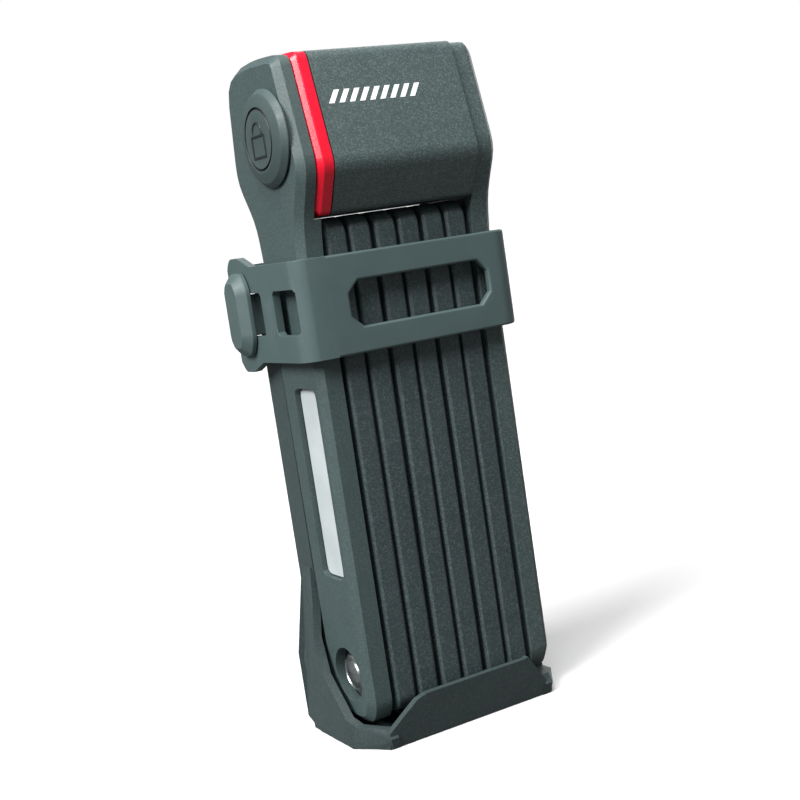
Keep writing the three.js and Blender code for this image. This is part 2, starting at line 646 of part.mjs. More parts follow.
// Flat outline in the strap's own length and height, pressed to strap thickness.
function strapSheet(outline, holes) {
  const shape = new THREE.Shape(outline.map(([u, z]) => new THREE.Vector2(u, z)));
  for (const hole of holes) {
    shape.holes.push(new THREE.Path(hole.map(([u, z]) => new THREE.Vector2(u, z))));
  }
  const geometry = new THREE.ExtrudeGeometry(shape, {
    depth: STRAP_THICK, bevelEnabled: false, curveSegments: 6,
  });
  geometry.rotateX(Math.PI / 2);
  return geometry;
}

function strap() {
  const frontLeft = STRAP_LEFT + STRAP_CORNER;
  const frontRight = STRAP_RIGHT - STRAP_CORNER;
  const window = rounded([
    [-18.9, 43.9, 4], [22.9, 43.9, 4], [22.9, 55.4, 4], [-18.9, 55.4, 4],
  ], 1);
  const front = strapSheet([
    [frontLeft, STRAP_BOTTOM], [frontRight, STRAP_BOTTOM],
    [frontRight, STRAP_TOP], [frontLeft, STRAP_TOP],
  ], [window]);
  front.translate(0, STRAP_FRONT + STRAP_THICK, 0);
  part("strap_front", solid(front), rubber);
  strapSide(frontRight + GAP);
  strapTail(frontLeft - GAP);
}

// Rounded strap corner: a bent flat section around one front corner of the stack.
function strapBend(x0, side, yBack) {
  const outer = side < 0 ? STRAP_LEFT : STRAP_RIGHT;
  const inner = outer - side * STRAP_THICK;
  const front = STRAP_FRONT;
  const back = front + STRAP_THICK;
  const points = [
    [x0, front], [outer - side * 1.8, front], [outer, front + 3], [outer, yBack],
    [inner, yBack], [inner, back + 1.6], [inner - side * 1, back], [x0, back],
  ];
  const shape = new THREE.Shape(points.map(([x, y]) => new THREE.Vector2(x, y)));
  const height = STRAP_TOP - STRAP_BOTTOM;
  const geometry = new THREE.ExtrudeGeometry(shape, { depth: height, bevelEnabled: false });
  geometry.translate(0, 0, STRAP_BOTTOM);
  return solid(geometry);
}

function strapSide(x0) {
  const band = strapBend(x0, 1, STUD_Y + 7);
  part("strap_side", band.subtract(rod(20, 40, STUD_Y, STRAP_MID_Z, STUD_HOLE)), rubber);
}

function strapTail(x0) {
  const band = strapBend(x0, -1, -1);
  const slots = STRAP_SLOTS.map(([y0, y1]) =>
    box(-36, -29, y0, y1, 44.2, 55.6));
  const lobe = rounded([
    [-14, STRAP_BOTTOM - 1.4, 3], [-14, STRAP_TOP + 1.6, 3], [-6, STRAP_TOP + 2.8, 2],
    [-0.6, STRAP_TOP + 0.6, 2], [-0.6, STRAP_BOTTOM - 0.6, 2], [-6, STRAP_BOTTOM - 2.8, 2],
  ], 2);
  const tab = stack([[STRAP_LEFT, lobe], [STRAP_LEFT + STRAP_THICK, lobe]]);
  part("strap_tail", cutAll(band.add(tab), slots), rubber);
}

function mountScrew(z) {
  const head = PLATE_REAR - WEB_THICK - GAP;
  const profile = [
    [0, head - 0.6], [1.6, head - 0.6], [1.6, head - 2.6], [4, head - 2.6], [4.4, head - 1.6],
    [4.4, head], [2.5, head], [2.5, -GAP], [0, -GAP],
  ].map(([radius, y]) => new THREE.Vector2(radius, y));
  const geometry = new THREE.LatheGeometry(profile, 20);
  geometry.translate(0, 0, z);
  return solid(geometry);
}

function pads() {
  const rear = PLATE_REAR - WEB_THICK - GAP;
  for (const [name, z] of PAD_PLACES) {
    const block = box(-PAD_HALF, PAD_HALF, PAD_FRONT, rear, z - PAD_HALF_HEIGHT, z + PAD_HALF_HEIGHT);
    part(name, block, rubber);
  }
}

part("holder_frame", holder(), holderPlastic);
part("strap_hook", strapHook(), holderPlastic);
part("strap_anchor_stud", anchorStud(), holderPlastic);
part("mount_screw_upper", mountScrew(SCREW_Z), steel);
part("mount_screw_lower", mountScrew(-SCREW_Z), steel);
pads();
strap();
leftArm();
head();
cylinder();
keyCover();
rightArm();
for (let plate = 2; plate < PLATES; plate += 1) {
  innerBar(plate);
}
for (let n = 1; n < PLATES; n += 1) {
  rivet(n);
}

export default group;
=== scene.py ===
import math

import bpy
from mathutils import Matrix, Vector


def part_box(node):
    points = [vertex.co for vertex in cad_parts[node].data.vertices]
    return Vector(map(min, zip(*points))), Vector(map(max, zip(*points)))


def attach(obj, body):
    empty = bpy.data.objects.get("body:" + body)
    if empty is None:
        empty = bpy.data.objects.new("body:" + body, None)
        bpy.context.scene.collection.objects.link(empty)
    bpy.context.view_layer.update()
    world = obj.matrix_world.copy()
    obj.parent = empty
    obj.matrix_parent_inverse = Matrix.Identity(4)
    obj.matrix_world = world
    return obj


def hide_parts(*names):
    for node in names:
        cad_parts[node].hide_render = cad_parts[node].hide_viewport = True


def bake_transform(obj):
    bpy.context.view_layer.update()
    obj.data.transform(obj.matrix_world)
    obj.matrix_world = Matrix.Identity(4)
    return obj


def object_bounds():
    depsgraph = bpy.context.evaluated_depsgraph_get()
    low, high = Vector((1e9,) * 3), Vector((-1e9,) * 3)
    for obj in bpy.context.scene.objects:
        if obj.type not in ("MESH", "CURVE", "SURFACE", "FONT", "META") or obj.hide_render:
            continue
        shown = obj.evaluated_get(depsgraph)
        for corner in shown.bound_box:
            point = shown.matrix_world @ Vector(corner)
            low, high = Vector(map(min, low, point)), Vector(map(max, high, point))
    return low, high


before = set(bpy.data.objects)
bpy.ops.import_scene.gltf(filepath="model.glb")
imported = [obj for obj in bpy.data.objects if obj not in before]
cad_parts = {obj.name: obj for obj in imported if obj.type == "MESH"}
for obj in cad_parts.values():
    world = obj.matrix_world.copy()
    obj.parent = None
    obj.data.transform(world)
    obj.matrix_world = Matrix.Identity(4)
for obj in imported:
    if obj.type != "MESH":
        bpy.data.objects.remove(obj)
CAD_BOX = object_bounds()
MM = 0.001

# Places taken from the frame
COVER_LOW, COVER_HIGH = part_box("key_cover")
KEY_CENTRE = (COVER_LOW + COVER_HIGH) / 2
STRAP_LOW, STRAP_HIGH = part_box("strap_front")
SIDE_LOW, SIDE_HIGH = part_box("strap_side")
TAIL_LOW, TAIL_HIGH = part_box("strap_tail")

# Printed bars on the barrel, in mm; the drop is a share of the way from the top edge to the ridge
BARREL_TOP_EDGE = (0, -40.4, 112.8)
BARREL_RIDGE = (0, -47.0, 84.0)
HATCH_COUNT = 9
HATCH_HEIGHT = 3.4
HATCH_WIDTH = 1.5
HATCH_PITCH = 2.9
HATCH_LEFT = -16.6
HATCH_DROP = 0.42
HATCH_LEAN = 2.2
PRINT_RAISE = 0.015
PRINT_DEPTH = 0.05

# Strap: thickness, outer radius of its corners, and the spare length trimmed at its split
STRAP_THICK = 2.2 * MM
CORNER = 5.5 * MM
SPARE = 3.2 * MM
BAND_MARGIN = 2.8 * MM
SPLIT_X = -24.2 * MM
SOFT_RIM = 0.7 * MM
BEND_STEP = 0.7
PLAIN_STEP = 3.0

# Lobed free end of the strap: where it starts, how far it grows, and its rounded tip
FLARE_START = -15 * MM
FLARE_LENGTH = 7 * MM
FLARE_GROWTH = 2.6 * MM
TIP_LENGTH = 3.5 * MM
TIP_CUT = 3.0 * MM

# Key cover, in mm: pivot pin seat and the bounds of the ring groove's faces, which are coloured
# near-black as painted shade
PIN_SEAT_RADIUS = 1.8
PIN_SEAT_SPARE = 0.3
GROOVE_INNER = 5.05
GROOVE_OUTER = 4.25

# Studio
FLOOR_SIZE = 40.0
FLOOR_DROP = 0.2 * MM
FLOOR_SEEN = (1.0, 1.0, 1.0)
FLOOR_BOUNCE = (0.14, 0.14, 0.14)
SKY_SEEN = 1.0
SKY_LIGHT = 0.22
SUN_FROM = Vector((-0.82, -0.25, 0.62))
SUN_POWER = 4.1
SUN_SPREAD = 30.0
FILL_FROM = Vector((0.8, 0.65, 0.4))
FILL_POWER = 1.4
FILL_SPREAD = SUN_SPREAD * 2
OVERHEAD_PLACE = Vector((-0.07, -0.16, 0.34))
OVERHEAD_POWER = 1.2
OVERHEAD_SIZE = 0.22

CAMERA_PLACE = Vector((-174.1, -338.8, 65.3)) * MM
CAMERA_AZIMUTH = 29.06
CAMERA_DROP = 7.0
CAMERA_ROLL = -8.53
CAMERA_LENS = 60.3
CAMERA_SENSOR = 36.0


# ---------------------------------------------------------------- shader node groups

def new_group(name, inputs, outputs):
    tree = bpy.data.node_groups.new(name, "ShaderNodeTree")
    for label, value in inputs:
        socket = tree.interface.new_socket(label, in_out="INPUT", socket_type="NodeSocketFloat")
        socket.default_value = value
    for label in outputs:
        tree.interface.new_socket(label, in_out="OUTPUT", socket_type="NodeSocketFloat")
    return tree, tree.nodes.new("NodeGroupInput"), tree.nodes.new("NodeGroupOutput")


def object_coordinates(tree):
    return tree.nodes.new("ShaderNodeTexCoord").outputs["Object"]


def noise(tree, scale, detail=3.0, roughness=0.55):
    node = tree.nodes.new("ShaderNodeTexNoise")
    tree.links.new(object_coordinates(tree), node.inputs["Vector"])
    node.inputs["Detail"].default_value = detail
    node.inputs["Roughness"].default_value = roughness
    if isinstance(scale, (int, float)):
        node.inputs["Scale"].default_value = scale
    else:
        tree.links.new(scale, node.inputs["Scale"])
    return node.outputs["Fac"]


def spread(tree, value, low, high, to_low=0.0, to_high=1.0):
    node = tree.nodes.new("ShaderNodeMapRange")
    node.inputs["From Min"].default_value = low
    node.inputs["From Max"].default_value = high
    node.inputs["To Min"].default_value = to_low
    node.inputs["To Max"].default_value = to_high
    tree.links.new(value, node.inputs["Value"])
    return node.outputs["Result"]


def maths(tree, operation, a, b):
    node = tree.nodes.new("ShaderNodeMath")
    node.operation = operation
    for socket, value in zip(node.inputs, (a, b)):
        if isinstance(value, (int, float)):
            socket.default_value = value
        else:
            tree.links.new(value, socket)
    return node.outputs["Value"]


def build_moulded_grain():
    tree, given, out = new_group("moulded_grain", [("Scale", 900.0)], ["Height", "Tone"])
    fine = noise(tree, given.outputs["Scale"], 2.0)
    broad = noise(tree, 120.0, 4.0)
    tree.links.new(fine, out.inputs["Height"])
    tree.links.new(spread(tree, broad, 0.3, 0.7), out.inputs["Tone"])
    return tree


def build_speckle():
    tree, given, out = new_group("speckle", [("Scale", 1500.0)], ["Fleck", "Height"])
    cells = tree.nodes.new("ShaderNodeTexVoronoi")
    tree.links.new(object_coordinates(tree), cells.inputs["Vector"])
    tree.links.new(given.outputs["Scale"], cells.inputs["Scale"])
    grey = tree.nodes.new("ShaderNodeSeparateColor")
    tree.links.new(cells.outputs["Color"], grey.inputs["Color"])
    tree.links.new(spread(tree, grey.outputs["Red"], 0.55, 1.0), out.inputs["Fleck"])
    tree.links.new(cells.outputs["Distance"], out.inputs["Height"])
    return tree


def build_edge_wear():
    tree, given, out = new_group("edge_wear", [("Amount", 0.5)], ["Mask"])
    shape = tree.nodes.new("ShaderNodeNewGeometry")
    edges = spread(tree, shape.outputs["Pointiness"], 0.52, 0.6)
    patches = spread(tree, noise(tree, 160.0, 4.0), 0.35, 0.65)
    mask = maths(tree, "MULTIPLY", maths(tree, "MULTIPLY", edges, patches), given.outputs["Amount"])
    tree.links.new(mask, out.inputs["Mask"])
    return tree


def build_brushed():
    tree, given, out = new_group("brushed_lines", [("Scale", 90.0)], ["Line"])
    stretch = tree.nodes.new("ShaderNodeMapping")
    stretch.inputs["Scale"].default_value = (1.0, 1.0, 14.0)
    tree.links.new(object_coordinates(tree), stretch.inputs["Vector"])
    node = tree.nodes.new("ShaderNodeTexNoise")
    tree.links.new(stretch.outputs["Vector"], node.inputs["Vector"])
    tree.links.new(given.outputs["Scale"], node.inputs["Scale"])
    node.inputs["Detail"].default_value = 5.0
    tree.links.new(node.outputs["Fac"], out.inputs["Line"])
    return tree


GRAIN = build_moulded_grain()
SPECKLE = build_speckle()
EDGE_WEAR = build_edge_wear()
BRUSHED = build_brushed()


# ---------------------------------------------------------------- materials

def place_group(tree, group, value):
    node = tree.nodes.new("ShaderNodeGroup")
    node.node_tree = group
    node.inputs[0].default_value = value
    return node


def mix_colour(tree, mask, first, second):
    node = tree.nodes.new("ShaderNodeMix")
    node.data_type = "RGBA"
    sockets = [s for s in node.inputs if s.type == "RGBA"]
    for socket, value in zip(sockets, (first, second)):
        if isinstance(value, tuple):
            socket.default_value = (*value, 1.0)
        else:
            tree.links.new(value, socket)
    tree.links.new(mask, node.inputs["Factor"])
    return [s for s in node.outputs if s.type == "RGBA"][0]


def bump(tree, height, strength, distance):
    node = tree.nodes.new("ShaderNodeBump")
    node.inputs["Strength"].default_value = strength
    node.inputs["Distance"].default_value = distance
    tree.links.new(height, node.inputs["Height"])
    return node.outputs["Normal"]


def start_material(name, metallic=0.0):
    material = bpy.data.materials.new(name)
    material.use_nodes = True
    tree = material.node_tree
    shader = tree.nodes["Principled BSDF"]
    shader.inputs["Metallic"].default_value = metallic
    return material, tree, shader


def coated(name, dark, light, worn, grain=900.0, bump_depth=0.03, rough=(0.45, 0.6), wear=0.5):
    """Painted or moulded surface: fine grain, uneven tone, lighter along its edges."""
    material, tree, shader = start_material(name)
    surface = place_group(tree, GRAIN, grain)
    edges = place_group(tree, EDGE_WEAR, wear)
    body = mix_colour(tree, surface.outputs["Tone"], dark, light)
    tree.links.new(mix_colour(tree, edges.outputs["Mask"], body, worn), shader.inputs["Base Color"])
    roughness = spread(tree, surface.outputs["Height"], 0.3, 0.7, *rough)
    tree.links.new(roughness, shader.inputs["Roughness"])
    normal = bump(tree, surface.outputs["Height"], 0.5, bump_depth * MM)
    tree.links.new(normal, shader.inputs["Normal"])
    return material


def speckled(name, dark, light, fleck, scale=3600.0, rough=(0.36, 0.5)):
    """Structured paint with fine light flecks."""
    material, tree, shader = start_material(name)
    surface = place_group(tree, GRAIN, scale * 0.7)
    spots = place_group(tree, SPECKLE, scale)
    body = mix_colour(tree, surface.outputs["Tone"], dark, light)
    mask = maths(tree, "MULTIPLY", spots.outputs["Fleck"], 0.6)
    tree.links.new(mix_colour(tree, mask, body, fleck), shader.inputs["Base Color"])
    roughness = spread(tree, spots.outputs["Height"], 0.0, 0.7, *rough)
    tree.links.new(roughness, shader.inputs["Roughness"])
    height = maths(tree, "ADD", spots.outputs["Height"], surface.outputs["Height"])
    tree.links.new(bump(tree, height, 0.5, 0.045 * MM), shader.inputs["Normal"])
    return material


def metal(name, dark, light, rough=(0.2, 0.38), scale=90.0):
    material, tree, shader = start_material(name, 1.0)
    lines = place_group(tree, BRUSHED, scale)
    colour = mix_colour(tree, lines.outputs["Line"], dark, light)
    tree.links.new(colour, shader.inputs["Base Color"])
    roughness = spread(tree, lines.outputs["Line"], 0.3, 0.7, *rough)
    tree.links.new(roughness, shader.inputs["Roughness"])
    tree.links.new(bump(tree, lines.outputs["Line"], 0.3, 0.02 * MM), shader.inputs["Normal"])
    return material


ARM_GREY = speckled("arm_grey_moulding", (0.046, 0.073, 0.072), (0.052, 0.081, 0.08),
                    (0.095, 0.135, 0.132), scale=4200.0, rough=(0.42, 0.55))
COVER_GREY = coated("key_cover_grey", (0.044, 0.069, 0.068), (0.052, 0.078, 0.077),
                    (0.14, 0.19, 0.185), grain=700.0)
BARREL_PAINT = speckled("barrel_structured_paint", (0.046, 0.07, 0.069), (0.054, 0.08, 0.079),
                        (0.14, 0.185, 0.182))
BAR_COAT = speckled("bar_wrinkle_coating", (0.032, 0.05, 0.052), (0.042, 0.061, 0.064),
                    (0.1, 0.135, 0.138), scale=3000.0, rough=(0.36, 0.55))
HOLDER_PLASTIC = speckled("holder_dark_plastic", (0.036, 0.054, 0.055), (0.041, 0.061, 0.062),
                          (0.078, 0.105, 0.105), scale=3600.0, rough=(0.45, 0.6))
HOOK_PLASTIC = coated("hook_plate_plastic", (0.068, 0.103, 0.103), (0.077, 0.115, 0.114),
                      (0.15, 0.2, 0.2), grain=1400.0, wear=0.4)
STRAP_RUBBER = coated("strap_soft_rubber", (0.064, 0.1, 0.099), (0.071, 0.109, 0.108),
                      (0.12, 0.165, 0.163), grain=2200.0, bump_depth=0.01, rough=(0.46, 0.56),
                      wear=0.3)
PAD_RUBBER = coated("pad_black_rubber", (0.016, 0.018, 0.018), (0.024, 0.026, 0.026),
                    (0.05, 0.05, 0.05), grain=600.0, rough=(0.7, 0.85))
RING_RED = coated("ring_red", (0.66, 0.003, 0.02), (0.74, 0.005, 0.03), (0.85, 0.05, 0.08),
                  grain=500.0, bump_depth=0.005, rough=(0.25, 0.32), wear=0.3)
WHITE_TAPE = coated("reflector_white", (0.5, 0.55, 0.555), (0.57, 0.62, 0.625),
                    (0.6, 0.65, 0.65), grain=2200.0, bump_depth=0.03, rough=(0.3, 0.42), wear=0.0)
WHITE_PRINT = coated("white_print", (0.82, 0.84, 0.84), (0.9, 0.91, 0.91), (0.9, 0.9, 0.9),
                     grain=900.0, rough=(0.4, 0.5), wear=0.0)
# Near-black painted shade for the sunk ring groove and the padlock outline on the key cover
GROOVE_PAINTED_SHADE = coated("engraving_painted_shade", (0.008, 0.014, 0.014), (0.012, 0.018, 0.018),
                    (0.03, 0.04, 0.04))
BRIGHT_STEEL = metal("bright_rivet_steel", (0.42, 0.46, 0.455), (0.6, 0.64, 0.63), (0.26, 0.4))
PLATE_STEEL = metal("hardened_plate_steel", (0.32, 0.33, 0.33), (0.46, 0.47, 0.47), (0.3, 0.5))
LOCK_STEEL = metal("machined_lock_steel", (0.45, 0.46, 0.46), (0.6, 0.61, 0.61))
BRASS = metal("turned_brass", (0.55, 0.4, 0.16), (0.72, 0.54, 0.25))


# ---------------------------------------------------------------- modelling helpers

def deselect_all():
    if bpy.context.mode != "OBJECT":
        bpy.ops.object.mode_set(mode="OBJECT")
    bpy.ops.object.select_all(action="DESELECT")


def make_active(piece):
    deselect_all()
    piece.select_set(True)
    bpy.context.view_layer.objects.active = piece


def edit(piece, select="SELECT"):
    make_active(piece)
    bpy.ops.object.mode_set(mode="EDIT")
    bpy.ops.mesh.select_mode(type="FACE")
    bpy.ops.mesh.select_all(action=select)


def leave_edit():
    bpy.ops.object.mode_set(mode="OBJECT")


def apply_place(piece):
    make_active(piece)
    bpy.ops.object.transform_apply(location=True, rotation=True, scale=True)


def select_faces(piece, test):
    """Selects the faces whose centre and normal pass the test, and stays in edit mode."""
    edit(piece, "DESELECT")
    leave_edit()
    for face in piece.data.polygons:
        face.select = bool(test(face.center, face.normal))
    bpy.ops.object.mode_set(mode="EDIT")


def soften_edges(piece, width, segments=3, angle=28.0):
    make_active(piece)
    modifier = piece.modifiers.new("soft_edges", "BEVEL")
    modifier.width = width
    modifier.segments = segments
    modifier.limit_method = "ANGLE"
    modifier.angle_limit = math.radians(angle)
    modifier.use_clamp_overlap = True
    modifier.miter_outer = "MITER_ARC"
    bpy.ops.object.modifier_apply(modifier=modifier.name)


def smooth(piece, angle=35.0):
    """Smooth shading in which large flat faces stay flat between their soft edges."""
    make_active(piece)
    bpy.ops.object.shade_smooth_by_angle(angle=math.radians(angle))
    modifier = piece.modifiers.new("flat_faces", "WEIGHTED_NORMAL")
    modifier.keep_sharp = True
    bpy.ops.object.modifier_apply(modifier=modifier.name)


def dress(piece, material, body, slot, *nodes):
    """Gives a finished piece its material and body and hides the CAD nodes it stands for; the slot
    argument is not used.
    """
    piece.data.materials.clear()
    piece.data.materials.append(material)
    if nodes:
        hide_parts(*nodes)
    if body:
        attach(piece, body)


def tidy_copy(node, name):
    """A merged copy of a CAD node with its flat faces made whole, ready for softer edges."""
    make_active(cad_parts[node])
    bpy.ops.object.duplicate()
    piece = bpy.context.view_layer.objects.active
    piece.parent = None
    piece.matrix_world = Matrix.Identity(4)
    piece.name = name
    for key in [key for key in piece.keys() if key.startswith("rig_")]:
        del piece[key]
    edit(piece)
    bpy.ops.mesh.remove_doubles(threshold=0.002 * MM)
    bpy.ops.mesh.dissolve_limited(angle_limit=math.radians(0.6))
    leave_edit()
    return piece


def softened(node, name, material, body, slot, width, segments=3):
    piece = tidy_copy(node, name)
    soften_edges(piece, width * MM, segments)
    smooth(piece)
    dress(piece, material, body, slot, node)
    return piece


def turned_along_x(name, steps, y, z, segments=64):
    """A turned piece: a disc extruded along X from step to step, each step (x, radius) in mm."""
    (x, radius), *rest = steps
    deselect_all()
    bpy.ops.mesh.primitive_circle_add(
        vertices=segments, radius=radius * MM, fill_type="NGON",
        location=(x * MM, y, z), rotation=(0, math.pi / 2, 0))
    piece = bpy.context.view_layer.objects.active
    piece.name = name
    apply_place(piece)
    edit(piece)
    for next_x, next_radius in rest:
        bpy.ops.mesh.extrude_region_move(
            TRANSFORM_OT_translate={"value": ((next_x - x) * MM, 0, 0)})
        ratio = next_radius / radius
        bpy.ops.transform.resize(value=(1, ratio, ratio), center_override=(next_x * MM, y, z))
        x, radius = next_x, next_radius
    bpy.ops.mesh.select_all(action="SELECT")
    bpy.ops.mesh.normals_make_consistent(inside=False)
    leave_edit()
    return piece


# ---------------------------------------------------------------- lock pieces

def outer_arms():
    softened("arm_left_cover", "left_arm_moulding", ARM_GREY, "arm_left", "arm_coating", 0.45)
    softened("arm_right_cover", "right_arm_moulding", BARREL_PAINT, "arm_right",
             "arm_coating", 0.45)


def lock_head():
    softened("barrel_shell", "barrel_casing", BARREL_PAINT, "arm_left", "barrel_coating", 0.4)
    softened("red_ring", "red_collar", RING_RED, "arm_left", "red_plastic", 0.25)


def inner_bars():
    for plate in range(2, 8):
        softened(f"bar_{plate}_jacket", f"bar_{plate}_coat", BAR_COAT, f"bar_{plate}",
                 "bar_coating", 0.3)


def reflector():
    softened("reflector_strip", "side_reflector", WHITE_TAPE, "arm_left", "reflective_tape", 0.12)


def end_rivet(name, node, body, side):
    """A rivet whose domed head shows at the foot of an outer arm."""
    low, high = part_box(node)
    y = (low.y + high.y) / 2
    z = (low.z + high.z) / 2
    outer = (low.x if side < 0 else high.x) / MM
    inner = (high.x if side < 0 else low.x) / MM
    inward = -side
    steps = [(outer, 0.6), (outer + 0.1 * inward, 1.7), (outer + 0.35 * inward, 3.0),
             (outer + 0.5 * inward, 3.3), (outer + 0.85 * inward, 3.5),
             (outer + 0.85 * inward, 4.2), (outer + 0.6 * inward, 4.4),
             (outer + 0.75 * inward, 4.75), (outer + 1.1 * inward, 5.0),
             (outer + 1.8 * inward, 5.0), (outer + 1.8 * inward, 3.0),
             (inner - 1.0 * inward, 3.0), (inner - 1.0 * inward, 5.0), (inner, 4.9)]
    piece = turned_along_x(name, steps, y, z)
    smooth(piece, 40.0)
    dress(piece, BRIGHT_STEEL, body, "bright_steel", node)


def rivets():
    end_rivet("left_foot_rivet", "rivet_1_2", "arm_left", -1)
    end_rivet("right_foot_rivet", "rivet_7_8", "bar_7", 1)
    for n in range(2, 7):
        low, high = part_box(f"rivet_{n}_{n + 1}")
        left, right = low.x / MM, high.x / MM
        steps = [(left, 4.7), (left + 0.3, 5.0), (left + 1, 5.0), (left + 1, 3.0),
                 (right - 1, 3.0), (right - 1, 5.0), (right - 0.3, 5.0), (right, 4.7)]
        piece = turned_along_x(f"inner_rivet_{n}", steps, (low.y + high.y) / 2,
                               (low.z + high.z) / 2, 40)
        smooth(piece, 40.0)
        dress(piece, BRIGHT_STEEL, f"bar_{n}", "bright_steel", f"rivet_{n}_{n + 1}")


def key_cover():
    """Raised round cover with a sloping rim, a ring groove and a padlock symbol; the groove and
    symbol are coloured near-black as painted shade.
    """
    outer = COVER_LOW.x / MM
    inner = COVER_HIGH.x / MM
    radius = (COVER_HIGH.z - COVER_LOW.z) / 2 / MM
    steps = [(inner, radius - 0.25), (inner - 0.25, radius), (inner - 0.5, radius),
             (outer + 1.0, radius - 1.0), (outer + 0.7, radius - 1.4),
             (outer + 0.12, radius - 3.5), (outer, radius - 3.9),
             (outer, radius - 4.3), (outer + 0.12, radius - 4.36), (outer + 0.45, radius - 4.45),
             (outer + 0.45, radius - 4.8), (outer + 0.12, radius - 4.9), (outer, radius - 5.0),
             (outer, 4.0), (outer, 1.0)]
    piece = turned_along_x("round_key_cover", steps, KEY_CENTRE.y, KEY_CENTRE.z, 96)
    cut_pin_seat(piece)
    smooth(piece, 30.0)
    dress(piece, COVER_GREY, "key_cover", "cover_plastic", "key_cover")
    paint_groove_shade(piece, radius - GROOVE_INNER, radius - GROOVE_OUTER)
    padlock_symbol(outer)


def cut_pin_seat(cover):
    """Bores the seat of the pivot pin into the back of the cover."""
    low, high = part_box("cover_pin")
    start = low.x - PIN_SEAT_SPARE * MM
    deselect_all()
    bpy.ops.mesh.primitive_cylinder_add(
        vertices=32, radius=PIN_SEAT_RADIUS * MM, depth=high.x - start,
        rotation=(0, math.pi / 2, 0),
        location=((start + high.x) / 2, (low.y + high.y) / 2, (low.z + high.z) / 2))
    cutter = bpy.context.view_layer.objects.active
    apply_place(cutter)
    make_active(cover)
    modifier = cover.modifiers.new("pin_seat", "BOOLEAN")
    modifier.operation = "DIFFERENCE"
    modifier.solver = "EXACT"
    modifier.object = cutter
    bpy.ops.object.modifier_apply(modifier=modifier.name)
    make_active(cutter)
    bpy.ops.object.delete()


def paint_groove_shade(piece, inner, outer):
    """Paints shade into the ring groove: its faces are coloured near-black."""
    piece.data.materials.append(GROOVE_PAINTED_SHADE)
    for face in piece.data.polygons:
        corners = [piece.data.vertices[i].co - KEY_CENTRE for i in face.vertices]
        reaches = [math.hypot(corner.y, corner.z) for corner in corners]
        if min(reaches) > inner * MM and max(reaches) < outer * MM:
            face.material_index = 1


def padlock_symbol(face_x):
    """Painted shade of a sunk padlock outline: thin near-black pieces, a shackle over a rounded
    case.
    """
    x = face_x * MM
    centre = KEY_CENTRE
    deselect_all()
    bpy.ops.mesh.primitive_torus_add(
        major_radius=2.5 * MM, minor_radius=0.3 * MM, major_segments=48, minor_segments=12,
        location=(x, centre.y, centre.z + 1.6 * MM), rotation=(0, math.pi / 2, 0))
    shackle = bpy.context.view_layer.objects.active
    shackle.name = "symbol_shackle"
    apply_place(shackle)
    edit(shackle)
    bpy.ops.mesh.bisect(plane_co=(x, centre.y, centre.z + 1.1 * MM), plane_no=(0, 0, 1),
                        use_fill=True, clear_inner=True)
    leave_edit()
    symbol_piece(shackle)
    deselect_all()
    bpy.ops.mesh.primitive_cube_add(
        size=1, location=(x, centre.y, centre.z - 1.8 * MM), scale=(0.4 * MM, 7.6 * MM, 5.8 * MM))
    case = bpy.context.view_layer.objects.active
    case.name = "symbol_case"
    apply_place(case)
    select_faces(case, lambda c, n: abs(n.x) > 0.9)
    bpy.ops.mesh.inset(thickness=0.6 * MM, use_individual=True)
    bpy.ops.mesh.bridge_edge_loops()
    leave_edit()
    soften_edges(case, 0.1 * MM, 2)
    symbol_piece(case)


# The symbol pieces carry the near-black painted shade of the engraving
def symbol_piece(piece):
    smooth(piece)
    dress(piece, GROOVE_PAINTED_SHADE, "key_cover", "cover_plastic")


def printed_hatch():
    """A plain row of slanting white bars printed on the barrel's upper face."""
    top = Vector(BARREL_TOP_EDGE) * MM
    ridge = Vector(BARREL_RIDGE) * MM
    rise = (top - ridge).normalized()
    out = Vector((0, -rise.z, rise.y))
    start = top.lerp(ridge, HATCH_DROP) + Vector((HATCH_LEFT * MM, 0, 0))
    start += out * PRINT_RAISE * MM
    deselect_all()
    bpy.ops.mesh.primitive_plane_add(
        size=1, location=start, rotation=(math.atan2(rise.z, rise.y), 0, 0))
    first = bpy.context.view_layer.objects.active
    first.name = "printed_bar_1"
    first.scale = (HATCH_WIDTH * MM, HATCH_HEIGHT * MM, 1)
    apply_place(first)
    edit(first, "DESELECT")
    bpy.ops.mesh.select_mode(type="VERT")
    leave_edit()
    for vertex in first.data.vertices:
        vertex.select = vertex.co.z > start.z
    bpy.ops.object.mode_set(mode="EDIT")
    bpy.ops.transform.translate(value=(HATCH_LEAN * MM, 0, 0))
    leave_edit()
    edit(first)
    bpy.ops.mesh.extrude_region_move(
        TRANSFORM_OT_translate={"value": tuple(out * PRINT_DEPTH * MM)})
    bpy.ops.mesh.select_all(action="SELECT")
    bpy.ops.mesh.normals_make_consistent(inside=False)
    leave_edit()
    bars = [first]
    for i in range(1, HATCH_COUNT):
        make_active(first)
        bpy.ops.object.duplicate()
        bar = bpy.context.view_layer.objects.active
        bar.name = f"printed_bar_{i + 1}"
        bar.location.x = i * HATCH_PITCH * MM
        apply_place(bar)
        bars.append(bar)
    for bar in bars:
        dress(bar, WHITE_PRINT, "arm_left", "reflective_tape")


# ---------------------------------------------------------------- strap

